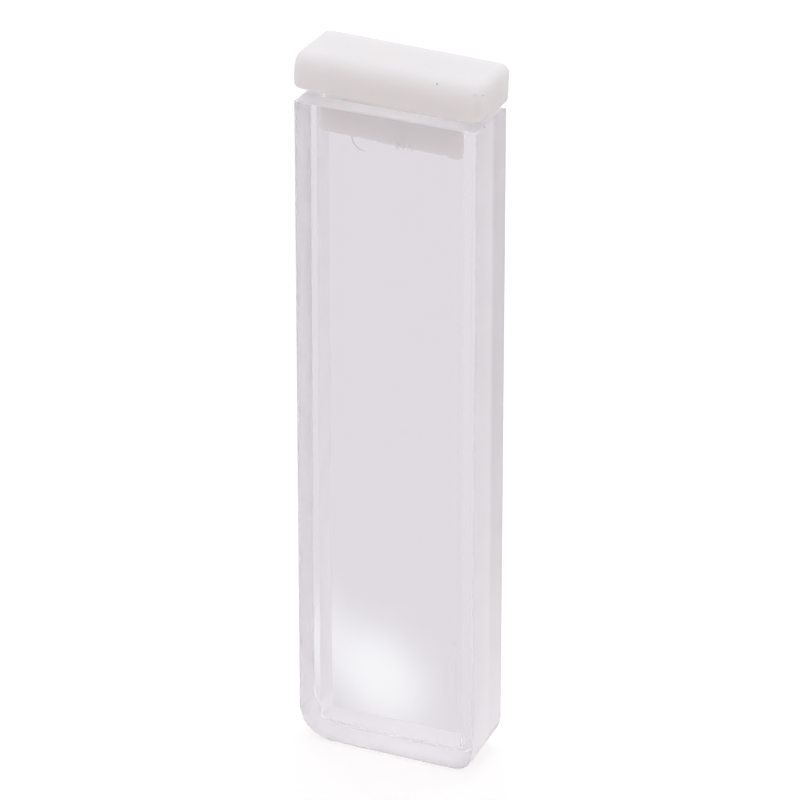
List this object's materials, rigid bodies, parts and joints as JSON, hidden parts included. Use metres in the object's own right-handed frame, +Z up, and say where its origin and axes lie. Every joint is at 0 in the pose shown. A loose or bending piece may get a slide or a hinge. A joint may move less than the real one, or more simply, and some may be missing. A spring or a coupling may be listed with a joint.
{
  "type": "cuvette",
  "caption": "Rectangular glass spectrophotometer cuvette with a short light path, clear windows, ground lower corners and a white plugged lid standing slightly proud of its mouth.",
  "frame": {"origin": "middle of the cell's base, on the surface it stands on", "axes": "+Z up out of the mouth along the cell's height, +X along the cell's width from side wall to side wall, +Y through the windows along the light path, from the front window to the back one"},
  "size_m": [0.0128, 0.005, 0.0483],
  "materials": {
    "glass": "polished",
    "ptfe": "satin"
  },
  "bodies": {
    "cell": {"cell": "glass"},
    "lid": {"lid": "ptfe"}
  },
  "joints": [
    {"name": "lid_lift", "type": "slide", "parent": "cell", "child": "lid", "axis": [0, 0, 1], "range_m": [-0.0004, 0.004]}
  ]
}
